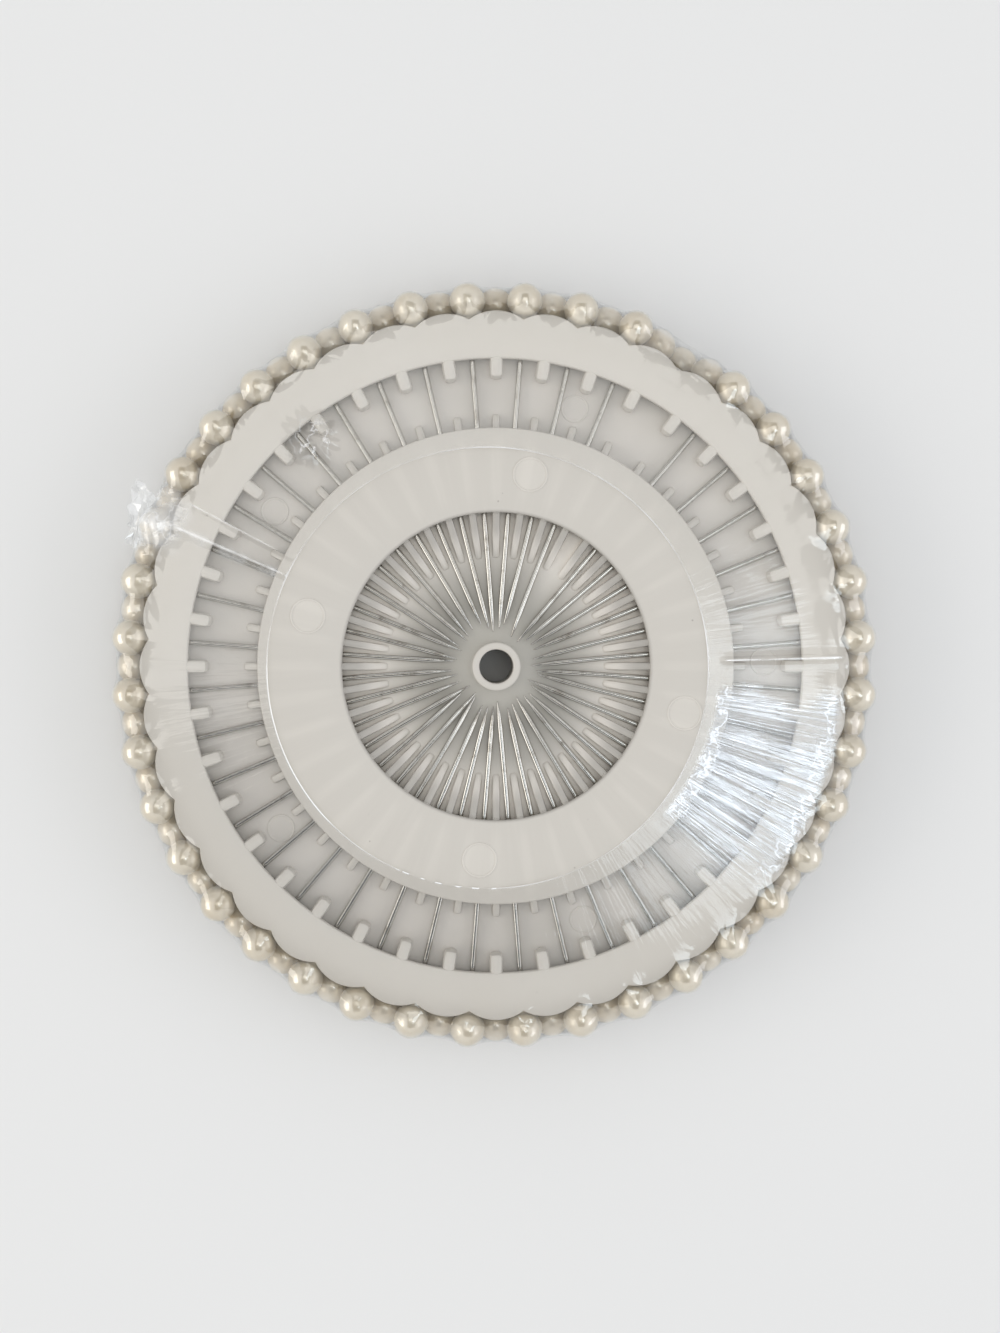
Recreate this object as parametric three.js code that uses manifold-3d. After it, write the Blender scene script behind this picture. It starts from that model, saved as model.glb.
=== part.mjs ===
// A shrink-wrapped stack of pin wheels: flat moulded plastic wheels that hold straight
// dressmaking pins like spokes, with a ring of pearl heads round each scalloped rim.
// Millimetres, +Z up. The origin is the centre of the face that the stack lies on.
// A pin's place is counted clockwise from +Y, as seen from above.
import * as THREE from "three";
import { mergeVertices } from "three/addons/utils/BufferGeometryUtils.js";
import Module from "manifold-3d";

const wasm = await Module();
wasm.setup();

// Pins
const PINS_PER_WHEEL = 40;
const MISSING_PIN = 4;
const PIN_D = 0.6;
const PIN_LENGTH = 38;
const PEARL_D = 4;
const NECK_D = 1.5;
const NECK_LENGTH = 0.9;
const POINT_LENGTH = 3;

// One moulded wheel, from its bore outwards
const BORE_D = 3.8;
const HUB_WALL = 0.8;
const TIP_CLEAR = 2.5;
const CENTRE_WINDOW_D = 34.4;
const MID_RING_W = 9.4;
const RIM_W = 4.1;
const LOBE_RISE = 1.2;
const PEARL_CLEAR = 0.8;
const COVER_T = 0.9;
const FLOOR_T = 0.9;
const LEDGE = 0.4;

// Ribs that part one pin from the next
const RIM_RIB_W = 1.3;
const MID_RIB_W = 0.85;
const RIM_TOOTH = 2.2;
const MID_TOOTH = 1.7;
const RIB_ROOT = 0.3;
const RIM_MARGIN = 1.2;
const SIDE_CLEAR = 0.23;

// Walls that hold the joined pins of a lower wheel, where the top wheel has ribs
const WALL = 0.8;

// Stack and clearances
const WHEEL_NAMES = ["bottom_wheel", "middle_wheel", "top_wheel"];
const PIN_CLEAR = 0.3;
const NEST_CLEAR = 0.3;

// Shrink band
const FILM_T = 0.2;
const FILM_CLEAR = 0.2;
const MOUTH_INSET = 2.2;
const SLOPE_W = 3.2;
const SEAT_HALF_W = 1.3;

// Facets
const LOBE_STEPS = 2;
const HUB_STEPS = 20;
const FILM_STEPS = 40;
const PIN_SIDES = 8;
const PEARL_ARCS = 4;
const STUB_SIDES = 6;
const STUB_ARCS = 4;

// Worked out
const PITCH = (2 * Math.PI) / PINS_PER_WHEEL;
const HUB_R = BORE_D / 2 + HUB_WALL;
const TIP_R = HUB_R + TIP_CLEAR;
const PEARL_RING_R = TIP_R + PIN_LENGTH - PEARL_D / 2;
const NOTCH_R = PEARL_RING_R - PEARL_D / 2 - PEARL_CLEAR;
const LOBE_R = NOTCH_R + LOBE_RISE;
const OUTER_WINDOW_R = NOTCH_R - RIM_W;
const CENTRE_WINDOW_R = CENTRE_WINDOW_D / 2;
const MID_RING_R = CENTRE_WINDOW_R + MID_RING_W;
const CHANNEL_H = PIN_D + 2 * PIN_CLEAR;
const WHEEL_H = FLOOR_T + CHANNEL_H + COVER_T;
const PIN_Z = FLOOR_T + CHANNEL_H / 2;
const COVER_Z = FLOOR_T + CHANNEL_H;

// The ribs run inwards as far as the pins leave room for them.
const RIB_START_R = (MID_RIB_W + PIN_D + 2 * SIDE_CLEAR) / PITCH;

// The wheels lie face on face, unless their pearls, which nest, are too large for that.
const NEST_W = 2 * PEARL_RING_R * Math.sin(PITCH / 4);
const NEST_H = Math.sqrt(Math.max((PEARL_D + NEST_CLEAR) ** 2 - NEST_W ** 2, 0));
const LEVEL_H = Math.max(WHEEL_H, NEST_H);
const BOTTOM_Z = FILM_T + FILM_CLEAR + PEARL_D / 2 - PIN_Z;
const TOP_WHEEL_Z = BOTTOM_Z + (WHEEL_NAMES.length - 1) * LEVEL_H;
const STACK_TOP = TOP_WHEEL_Z + WHEEL_H;
const BAND_TOP = TOP_WHEEL_Z + PIN_Z + PEARL_D / 2 + FILM_CLEAR + FILM_T;
const BAND_R = PEARL_RING_R + PEARL_D / 2 + FILM_CLEAR + FILM_T;
const MOUTH_R = MID_RING_R - MOUTH_INSET;
const WALL_R = OUTER_WINDOW_R + WALL / 2;

const PLASTIC = { color: 0xd9d5d0, roughness: 0.45, metalness: 0 };
const PEARL = { color: 0xe7ddca, roughness: 0.25, metalness: 0.1 };
const FILM = { color: 0xf4f6f6, roughness: 0.12, metalness: 0, opacity: 0.3, transparent: true };

// A closed geometry as a solid for joining and cutting
function solid(geometry) {
  const bare = geometry.clone();
  bare.deleteAttribute("normal");
  bare.deleteAttribute("uv");
  const merged = mergeVertices(bare, 1e-4);
  return new wasm.Manifold(
    new wasm.Mesh({
      numProp: 3,
      vertProperties: merged.attributes.position.array,
      triVerts: new Uint32Array(merged.index.array),
    }),
  );
}

// A solid back as a geometry
function geometryOf(made) {
  const mesh = made.getMesh();
  const geometry = new THREE.BufferGeometry();
  geometry.setAttribute("position", new THREE.BufferAttribute(mesh.vertProperties, 3));
  geometry.setIndex(new THREE.BufferAttribute(mesh.triVerts, 1));
  geometry.computeVertexNormals();
  return geometry;
}

function joined(solids) {
  return solids.reduce((whole, next) => whole.add(next));
}

function ringShape(outer, innerR) {
  const hole = new THREE.Path();
  hole.absarc(0, 0, innerR, 0, 2 * Math.PI, true);
  outer.holes.push(hole);
  return outer;
}

// A full circle gets two facets for each curve segment, so a ring has one for each pin.
function plate(shape, z, height) {
  const settings = { depth: height, bevelEnabled: false, curveSegments: PINS_PER_WHEEL / 2 };
  return solid(new THREE.ExtrudeGeometry(shape, settings).translate(0, 0, z));
}

function flatRing(outerR, innerR, z, height) {
  const outline = new THREE.Shape();
  outline.absarc(0, 0, outerR, 0, 2 * Math.PI, false);
  return plate(ringShape(outline, innerR), z, height);
}

// The rim's lobes are arcs that meet in a notch at each pin, with a lobe between two pins.
function scallopedOutline() {
  const halfChord = NOTCH_R * Math.sin(PITCH / 2);
  const rise = LOBE_R - NOTCH_R * Math.cos(PITCH / 2);
  const arcR = (halfChord ** 2 + rise ** 2) / (2 * rise);
  const centreR = LOBE_R - arcR;
  const reach = Math.asin(halfChord / arcR);
  const outline = new THREE.Shape();
  for (let i = 0; i < PINS_PER_WHEEL; i++) {
    const turn = Math.PI / 2 + i * PITCH;
    const x = centreR * Math.cos(turn);
    const y = centreR * Math.sin(turn);
    for (let step = 0; step < LOBE_STEPS; step++) {
      const angle = turn - reach + (2 * reach * step) / LOBE_STEPS;
      const px = x + arcR * Math.cos(angle);
      const py = y + arcR * Math.sin(angle);
      if (i + step === 0) outline.moveTo(px, py);
      else outline.lineTo(px, py);
    }
  }
  return outline;
}

// One copy a pin, where the first is turned from +Y by start pitches
function spokes(one, start) {
  const step = 360 / PINS_PER_WHEEL;
  const copies = [];
  for (let i = 0; i < PINS_PER_WHEEL; i++) copies.push(one.rotate([0, 0, (i + start) * step]));
  return copies;
}

// The ribs between the pins stand on the floor and hold the covers up.
function ribs(fromR, toR, width) {
  const bottom = FLOOR_T - RIB_ROOT;
  const height = COVER_Z + RIB_ROOT - bottom;
  const rib = new THREE.BoxGeometry(width, toR - fromR, height);
  return spokes(solid(rib.translate(0, (fromR + toR) / 2, bottom + height / 2)), 0);
}

// The floor of the centre window, with the hub that stands up from it
function hubAndFloor() {
  const floorR = CENTRE_WINDOW_R + LEDGE;
  const profile = [
    [BORE_D / 2, 0],
    [floorR, 0],
    [floorR, FLOOR_T],
    [HUB_R, FLOOR_T],
    [HUB_R, WHEEL_H],
    [BORE_D / 2, WHEEL_H],
    [BORE_D / 2, 0],
  ];
  return solid(revolved(profile, HUB_STEPS));
}

// A closed profile of radius and height, turned round +Z
function revolved(profile, steps) {
  const points = profile.map(([r, z]) => new THREE.Vector2(r, z));
  return new THREE.LatheGeometry(points, steps).rotateX(Math.PI / 2);
}

// The top wheel has a lobe and a rib on +Y, with its pins half a pitch off.
function openWheel() {
  const cover = plate(ringShape(scallopedOutline(), OUTER_WINDOW_R), COVER_Z, COVER_T);
  const midCover = flatRing(MID_RING_R, CENTRE_WINDOW_R, COVER_Z, COVER_T);
  const windowFloor = flatRing(OUTER_WINDOW_R + LEDGE, MID_RING_R - LEDGE, 0, FLOOR_T);
  const rimRibs = ribs(OUTER_WINDOW_R - RIM_TOOTH, NOTCH_R - RIM_MARGIN, RIM_RIB_W);
  const midRibs = ribs(RIB_START_R, MID_RING_R + MID_TOOTH, MID_RIB_W);
  return joined([cover, midCover, windowFloor, hubAndFloor(), ...rimRibs, ...midRibs]);
}

// A lower wheel is one with its pins. Its section steps from floor to cover at closed walls.
function filledWheel() {
  const profile = [
    [BORE_D / 2, 0],
    [CENTRE_WINDOW_R + WALL, 0],
    [CENTRE_WINDOW_R + WALL, COVER_Z],
    [MID_RING_R - WALL, COVER_Z],
    [MID_RING_R - WALL, 0],
    [OUTER_WINDOW_R + WALL, 0],
    [OUTER_WINDOW_R + WALL, WHEEL_H],
    [OUTER_WINDOW_R, WHEEL_H],
    [OUTER_WINDOW_R, FLOOR_T],
    [MID_RING_R, FLOOR_T],
    [MID_RING_R, WHEEL_H],
    [CENTRE_WINDOW_R, WHEEL_H],
    [CENTRE_WINDOW_R, FLOOR_T],
    [HUB_R, FLOOR_T],
    [HUB_R, WHEEL_H],
    [BORE_D / 2, WHEEL_H],
    [BORE_D / 2, 0],
  ];
  const cover = plate(ringShape(scallopedOutline(), WALL_R), COVER_Z, COVER_T);
  return joined([solid(revolved(profile, PINS_PER_WHEEL)), cover, ...spokes(stub(), 0.5)]);
}

// What shows of a joined pin: its pearl, and the shank from there to the wall that holds it
function stub() {
  const shank = new THREE.BoxGeometry(PIN_D, PEARL_RING_R - WALL_R, PIN_D);
  const pearl = new THREE.SphereGeometry(PEARL_D / 2, STUB_SIDES, STUB_ARCS);
  pearl.translate(0, PEARL_RING_R, 0);
  shank.translate(0, (PEARL_RING_R + WALL_R) / 2, 0);
  return solid(pearl).add(solid(shank)).translate([0, 0, PIN_Z]);
}

// A loose pin with its pearl head lies along +Y, with its point the nearer to the hub.
function pinGeometry() {
  const pearlR = PEARL_D / 2;
  const centre = PIN_LENGTH - pearlR;
  const neckAngle = Math.asin(NECK_D / PEARL_D);
  const neckEnd = centre - pearlR * Math.cos(neckAngle);
  const points = [
    new THREE.Vector2(0, 0),
    new THREE.Vector2(PIN_D / 2, POINT_LENGTH),
    new THREE.Vector2(PIN_D / 2, neckEnd - NECK_LENGTH),
  ];
  for (let i = 0; i < PEARL_ARCS; i++) {
    const angle = neckAngle + ((Math.PI - neckAngle) * i) / PEARL_ARCS;
    points.push(new THREE.Vector2(pearlR * Math.sin(angle), centre - pearlR * Math.cos(angle)));
  }
  points.push(new THREE.Vector2(0, PIN_LENGTH));
  return new THREE.LatheGeometry(points, PIN_SIDES).translate(0, TIP_R, 0);
}

// The band is one skin round the stack, with a mouth in the middle above and below.
function bandGeometry() {
  const seatIn = PEARL_RING_R - SEAT_HALF_W;
  const seatOut = PEARL_RING_R + SEAT_HALF_W;
  const corner = BAND_R - seatOut;
  const underZ = BOTTOM_Z - FILM_CLEAR;
  const overZ = STACK_TOP + FILM_CLEAR;
  const profile = [
    [MOUTH_R, underZ - FILM_T],
    [seatIn - SLOPE_W, underZ - FILM_T],
    [seatIn, 0],
    [seatOut, 0],
    [BAND_R, corner],
    [BAND_R, BAND_TOP - corner],
    [seatOut, BAND_TOP],
    [seatIn, BAND_TOP],
    [seatIn - SLOPE_W, overZ + FILM_T],
    [MOUTH_R, overZ + FILM_T],
    [MOUTH_R, overZ],
    [seatIn - SLOPE_W, overZ],
    [seatIn, BAND_TOP - FILM_T],
    [seatOut, BAND_TOP - FILM_T],
    [BAND_R - FILM_T, BAND_TOP - corner],
    [BAND_R - FILM_T, corner],
    [seatOut, FILM_T],
    [seatIn, FILM_T],
    [seatIn - SLOPE_W, underZ],
    [MOUTH_R, underZ],
    [MOUTH_R, underZ - FILM_T],
  ];
  return revolved(profile, FILM_STEPS);
}

function named(name, geometry, look) {
  const mesh = new THREE.Mesh(geometry, new THREE.MeshStandardMaterial(look));
  mesh.name = name;
  return mesh;
}

// The pins of the top wheel slide out one by one, and one of them is gone.
function loosePins() {
  const pins = [];
  for (let i = 1; i <= PINS_PER_WHEEL; i++) {
    if (i === MISSING_PIN) continue;
    const pin = named(`pin_${String(i).padStart(2, "0")}`, pinGeometry(), PEARL);
    pin.position.z = PIN_Z;
    pin.rotation.z = -(i - 0.5) * PITCH;
    pins.push(pin);
  }
  return pins;
}

const stack = new THREE.Group();

// Each wheel is turned half a pitch from the one on it, so that the pearls nest.
WHEEL_NAMES.forEach((name, level) => {
  const below = WHEEL_NAMES.length - 1 - level;
  const group = new THREE.Group();
  group.position.z = BOTTOM_Z + level * LEVEL_H;
  group.rotation.z = (below * PITCH) / 2;
  group.add(named(name, geometryOf(below ? filledWheel() : openWheel()), PLASTIC));
  if (!below) group.add(...loosePins());
  stack.add(group);
});
stack.add(named("shrink_band", bandGeometry(), FILM));

export default stack;
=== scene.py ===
import math
import random

import bmesh
import bpy
import numpy as np
from bpy.props import FloatProperty, FloatVectorProperty, IntProperty, PointerProperty
from mathutils import Matrix, Vector, noise


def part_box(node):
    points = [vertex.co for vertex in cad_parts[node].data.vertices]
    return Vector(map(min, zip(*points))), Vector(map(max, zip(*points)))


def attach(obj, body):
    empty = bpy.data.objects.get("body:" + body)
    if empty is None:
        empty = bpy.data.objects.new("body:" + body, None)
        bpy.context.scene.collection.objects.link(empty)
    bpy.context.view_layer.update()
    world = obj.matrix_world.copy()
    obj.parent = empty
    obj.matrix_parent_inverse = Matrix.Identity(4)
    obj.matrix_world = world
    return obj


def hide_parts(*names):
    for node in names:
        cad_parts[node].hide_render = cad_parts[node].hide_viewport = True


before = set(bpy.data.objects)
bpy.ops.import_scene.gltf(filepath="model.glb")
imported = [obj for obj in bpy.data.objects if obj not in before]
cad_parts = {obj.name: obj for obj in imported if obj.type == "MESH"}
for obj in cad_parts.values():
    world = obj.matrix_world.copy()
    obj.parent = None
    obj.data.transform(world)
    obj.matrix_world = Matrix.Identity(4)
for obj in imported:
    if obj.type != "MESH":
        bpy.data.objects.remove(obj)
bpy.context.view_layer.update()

bl_info = {
    "name": "Pin wheel stack",
    "version": (1, 0, 0),
    "blender": (4, 5, 0),
    "location": "View3D > Sidebar > Pin wheels",
    "description": "Dresses a stack of pearl-head pin wheels in shrink film",
    "category": "Object",
}

# Places taken from the frame
PIN_NAMES = sorted(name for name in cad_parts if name.startswith("pin_"))
TOP_LOW, TOP_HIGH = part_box("top_wheel")
BAND_LOW, BAND_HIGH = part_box("shrink_band")
WHEEL_H = TOP_HIGH.z - TOP_LOW.z
LOBE_R = TOP_HIGH.y


def pin_height(node):
    """The height of the pins' axes in a wheel or a loose pin."""
    low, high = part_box(node)
    return (low.z + high.z) / 2


PIN_Z = pin_height(PIN_NAMES[0]) - TOP_LOW.z


def wheel_base(name):
    return TOP_LOW.z if name == "top_wheel" else pin_height(name) - PIN_Z


# A wheel's turn in half pitches from the top one's, whose lobes start at +Y
WHEEL_TURNS = {"top_wheel": 0, "middle_wheel": 1, "bottom_wheel": 2}


class WheelSizes(bpy.types.PropertyGroup):
    """One moulded wheel, from its bore outwards."""

    pins: IntProperty(name="Pins", description="Pins that one wheel holds", default=40, min=8)
    bore_radius: FloatProperty(
        name="Bore radius", description="Radius of the hub's hole", default=0.0019, unit="LENGTH")
    hub_radius: FloatProperty(
        name="Hub radius", description="Outer radius of the hub", default=0.0027, unit="LENGTH")
    centre_radius: FloatProperty(
        name="Centre window", description="Radius of the window round the hub", default=0.0172,
        unit="LENGTH")
    mid_radius: FloatProperty(
        name="Mid ring", description="Outer radius of the ring between the windows", default=0.0266,
        unit="LENGTH")
    window_radius: FloatProperty(
        name="Outer window", description="Outer radius of the window inside the rim",
        default=0.0343, unit="LENGTH")
    notch_radius: FloatProperty(
        name="Notches", description="Radius of the rim where a pin leaves it", default=0.0387,
        unit="LENGTH")
    skin: FloatProperty(
        name="Skin", description="Thickness of the floors and covers", default=0.0009,
        unit="LENGTH")
    ledge: FloatProperty(
        name="Ledge", description="How far a floor runs on under a cover", default=0.0004,
        unit="LENGTH")
    edge: FloatProperty(
        name="Edge rounding", description="Radius on the moulding's edges", default=0.0002,
        unit="LENGTH")
    rim_rib: FloatProperty(
        name="Rim rib", description="Width of the ribs under the rim", default=0.00145,
        unit="LENGTH")
    mid_rib: FloatProperty(
        name="Mid rib", description="Width of the ribs under the mid ring", default=0.0009,
        unit="LENGTH")
    rim_tooth: FloatProperty(
        name="Rim tooth", description="How far a rim rib shows in the window", default=0.0021,
        unit="LENGTH")
    mid_tooth: FloatProperty(
        name="Mid tooth", description="How far a mid rib shows in the outer window", default=0.0017,
        unit="LENGTH")
    centre_tooth: FloatProperty(
        name="Centre tooth", description="How far a mid rib slopes into the centre window",
        default=0.0051, unit="LENGTH")


class PinSizes(bpy.types.PropertyGroup):
    """One straight pin with a pearl head."""

    shank: FloatProperty(
        name="Shank", description="Diameter of the wire", default=0.0006, unit="LENGTH")
    pearl: FloatProperty(
        name="Pearl", description="Diameter of the head", default=0.004, unit="LENGTH")
    pearl_ring: FloatProperty(
        name="Pearl ring", description="Radius of the ring of pearl centres", default=0.041,
        unit="LENGTH")
    neck: FloatProperty(
        name="Neck", description="Length of the pearl's neck along the wire", default=0.0006,
        unit="LENGTH")
    tip_radius: FloatProperty(
        name="Tips", description="Mean distance of the points from the hub's axis", default=0.0043,
        unit="LENGTH")
    tip_scatter: FloatProperty(
        name="Tip scatter", description="How much the points' distance varies", default=0.0007,
        unit="LENGTH")
    point: FloatProperty(
        name="Point", description="Length of the ground point", default=0.003, unit="LENGTH")
    bend: FloatProperty(
        name="Bend", description="How far a point may lean aside", default=0.0003, unit="LENGTH")
    seed: IntProperty(name="Seed", description="Chooses the pins' small differences", default=11)


class FilmSizes(bpy.types.PropertyGroup):
    """The clear shrink film round the stack."""

    clearance: FloatProperty(
        name="Clearance", description="Gap between the film and what it hugs", default=0.00007,
        unit="LENGTH")
    rest_clearance: FloatProperty(
        name="Rest clearance", description="Gap between the lowest pearls and the film below them",
        default=0.0003, unit="LENGTH")
    mouth_radius: FloatProperty(
        name="Mouth", description="Radius of the film's mouth", default=0.0245, unit="LENGTH")
    mouth_shift: FloatVectorProperty(
        name="Mouth shift", description="How far the upper mouth's centre lies off the axis",
        size=2, default=(-0.0009, -0.0002), unit="LENGTH")
    lip: FloatProperty(
        name="Lip", description="How far the mouth's edge stands up", default=0.0003, unit="LENGTH")
    columns: IntProperty(name="Columns", description="Faces round the film", default=640)
    top_rows: IntProperty(
        name="Top rows", description="Faces from the upper mouth to the pearls", default=32)
    side_rows: IntProperty(name="Side rows", description="Faces over the pearls", default=42)
    low_rows: IntProperty(
        name="Lower rows", description="Faces from the pearls to the lower mouth", default=6)
    draws: IntProperty(name="Draws", description="Steps in which the film draws tight", default=160)


class StackColours(bpy.types.PropertyGroup):
    """The finishes' main colours, as linear values."""

    cover: FloatVectorProperty(
        name="Covers", description="Plastic of the rings and the rim", subtype="COLOR", size=3,
        default=(0.56, 0.532, 0.482), min=0, max=1)
    # Painted light: the outer floor is painted paler than the covers, though the same plastic, to
    # make up for the shade that falls in the window
    floor: FloatVectorProperty(
        name="Outer floor", description="Plastic of the outer window's thin floor", subtype="COLOR",
        size=3, default=(0.62, 0.585, 0.535), min=0, max=1)
    centre_floor: FloatVectorProperty(
        name="Centre floor", description="Plastic of the floor round the hub", subtype="COLOR",
        size=3, default=(0.445, 0.427, 0.382), min=0, max=1)
    pearl: FloatVectorProperty(
        name="Pearl", description="Pearl lacquer", subtype="COLOR", size=3,
        default=(0.77, 0.70, 0.56), min=0, max=1)
    pearl_shade: FloatVectorProperty(
        name="Pearl shade", description="Deeper clouds in the pearl lacquer", subtype="COLOR",
        size=3, default=(0.64, 0.53, 0.35), min=0, max=1)
    steel: FloatVectorProperty(
        name="Steel", description="Plated wire", subtype="COLOR", size=3,
        default=(0.58, 0.565, 0.525), min=0, max=1)
    steel_stain: FloatVectorProperty(
        name="Steel stain", description="Dull patches on the wire", subtype="COLOR", size=3,
        default=(0.27, 0.24, 0.20), min=0, max=1)
    table: FloatVectorProperty(
        name="Table", description="Floor that the stack lies on", subtype="COLOR", size=3,
        default=(0.74, 0.74, 0.73), min=0, max=1)


class StackSettings(bpy.types.PropertyGroup):
    """All the sizes and colours of the stack."""

    wheel: PointerProperty(type=WheelSizes)
    pin: PointerProperty(type=PinSizes)
    film: PointerProperty(type=FilmSizes)
    colours: PointerProperty(type=StackColours)


def settings():
    return bpy.context.scene.pin_stack


# Shader nodes, whose places count in millimetres
MM = 1000


class Value:
    """A number socket that Python's operators work on, by way of Math nodes."""

    def __init__(self, finish, socket):
        self.finish = finish
        self.socket = socket

    def math(self, operation, *others, clamp=False):
        return self.finish.math(operation, self, *others, clamp=clamp)

    def __add__(self, other):
        return self.math("ADD", other)

    def __radd__(self, other):
        return self.math("ADD", other)

    def __sub__(self, other):
        return self.math("SUBTRACT", other)

    def __rsub__(self, other):
        return self.finish.math("SUBTRACT", other, self)

    def __mul__(self, other):
        return self.math("MULTIPLY", other)

    def __rmul__(self, other):
        return self.math("MULTIPLY", other)

    def __truediv__(self, other):
        return self.math("DIVIDE", other)

    def __pow__(self, other):
        return self.math("POWER", other)

    def limited(self):
        """The value held between 0 and 1."""
        return self.math("ADD", 0.0, clamp=True)

    def step(self, start, end):
        """0 before start and 1 after end, with a smooth way between."""
        node = self.finish.node(
            "ShaderNodeMapRange", {"interpolation_type": "SMOOTHSTEP"},
            {"Value": self, "From Min": start, "From Max": end})
        return Value(self.finish, node.outputs["Result"])

    def near(self, centre, start, end):
        """1 less than start away from the centre and 0 further off than end."""
        return 1 - (self - centre).math("ABSOLUTE").step(start, end)


class Finish:
    """A material that is built node by node."""

    def __init__(self, name):
        self.material = bpy.data.materials.new(name)
        self.material.use_nodes = True
        self.tree = self.material.node_tree
        self.tree.nodes.clear()
        self.place = self.node("ShaderNodeTexCoord").outputs["Object"]

    def node(self, kind, options=None, inputs=None):
        """Adds a node, with its options set first and then its sockets' values or links."""
        node = self.tree.nodes.new(kind)
        for option, value in (options or {}).items():
            setattr(node, option, value)
        for key, value in (inputs or {}).items():
            source = value.socket if isinstance(value, Value) else value
            if isinstance(source, bpy.types.NodeSocket):
                self.tree.links.new(source, node.inputs[key])
            else:
                node.inputs[key].default_value = source
        return node

    def math(self, operation, *values, clamp=False):
        options = {"operation": operation, "use_clamp": clamp}
        node = self.node("ShaderNodeMath", options, dict(enumerate(values)))
        return Value(self, node.outputs[0])

    def axes(self, vector):
        node = self.node("ShaderNodeSeparateXYZ", inputs={0: vector})
        return [Value(self, socket) for socket in node.outputs]

    def vector(self, x, y, z):
        return self.node("ShaderNodeCombineXYZ", inputs={0: x, 1: y, 2: z}).outputs[0]

    def noise(self, scale, vector=None, detail=2.0, roughness=0.5):
        """Noise from 0 to 1 whose scale counts features in a metre."""
        node = self.node("ShaderNodeTexNoise", inputs={
            "Vector": vector or self.place, "Scale": scale, "Detail": detail,
            "Roughness": roughness})
        return Value(self, node.outputs["Fac"])

    def cells(self, scale, feature="F1"):
        """Distance to the nearest of many scattered points or borders, in cells."""
        node = self.node("ShaderNodeTexVoronoi", {"feature": feature}, {
            "Vector": self.place, "Scale": scale})
        return Value(self, node.outputs["Distance"])

    def mix(self, share, low, high):
        """A colour between two others."""
        def colour(value):
            return value if isinstance(value, bpy.types.NodeSocket) else (*value[:3], 1.0)
        node = self.node("ShaderNodeMix", {"data_type": "RGBA"}, {
            0: share, 6: colour(low), 7: colour(high)})
        return node.outputs[2]

    def bump(self, height, distance, strength=1.0, normal=None):
        inputs = {"Height": height, "Distance": distance, "Strength": strength}
        if normal:
            inputs["Normal"] = normal
        return self.node("ShaderNodeBump", inputs=inputs).outputs["Normal"]

    def surface(self, **sockets):
        """Ends the material in a Principled shader with these sockets."""
        inputs = {key.replace("_", " ").title().replace("Ior", "IOR"): value
                  for key, value in sockets.items()}
        shader = self.node("ShaderNodeBsdfPrincipled", inputs=inputs)
        self.node("ShaderNodeOutputMaterial", inputs={"Surface": shader.outputs[0]})
        return self.material


def polar(finish):
    """Distance from the hub's axis in millimetres, degrees clockwise from +Y, and height."""
    x, y, z = finish.axes(finish.place)
    distance = finish.math("SQRT", x * x + y * y) * MM
    degrees = finish.math("ARCTAN2", x, y) * math.degrees(1)
    return distance, degrees, z * MM


def reach_from(finish, x, y):
    """Distance in millimetres from an upright line."""
    across, along, _ = finish.axes(finish.place)
    across = across - x
    along = along - y
    return finish.math("SQRT", across * across + along * along) * MM


def toned(colour, tone):
    """A colour made paler or darker."""
    return [min(1.0, part * tone) for part in colour]


# Ejector marks, as (distance from the axis, degrees clockwise from +Y)
MID_MARKS = [(0.0217, 10), (0.0217, 104), (0.0217, 185), (0.0217, 285)]
FLOOR_MARKS = [(0.0303, 17 + 72 * i) for i in range(5)]
MID_MARK_R = 0.002
FLOOR_MARK_R = 0.0016
MARK_PROUD = 0.00007

# Where the plastic's tone changes, in millimetres from the axis
CENTRE_RIBS = (4, 6)
# The centre floor is painted paler outwards across this span, as painted light in the gaps that the
# cover shades
CENTRE_FLOOR = (6.5, 16.5)
CENTRE_EDGE = (17.2, 17.6)
RIBS_SHOW = (17.5, 20)
RIBS_FADE = (24.5, 26.4)
RIM_START = (31.4, 31.8)

# Where it changes from the floor's to the cover's, in millimetres over the wheel's base
CENTRE_RIB_LEVEL = (0.95, 2.1)
COVER_LEVEL = (0.92, 1.3)

# The tones, as shares of the colours in the settings: the gaps' and the rim's tones are painted
# light, the centre ribs' tone painted shade
GAP_PAINTED_LIGHT_TONE = 1.35
CENTRE_RIB_PAINTED_SHADE_TONE = 0.74
# Painted light: the rim is painted paler than the mid ring, to make up for the light it loses under
# the film
RIM_PAINTED_LIGHT_TONE = 1.1
PALE_TONE = 1.13
DUSK_TONE = 0.9
SPECK_COLOUR = (0.22, 0.19, 0.17)


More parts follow.
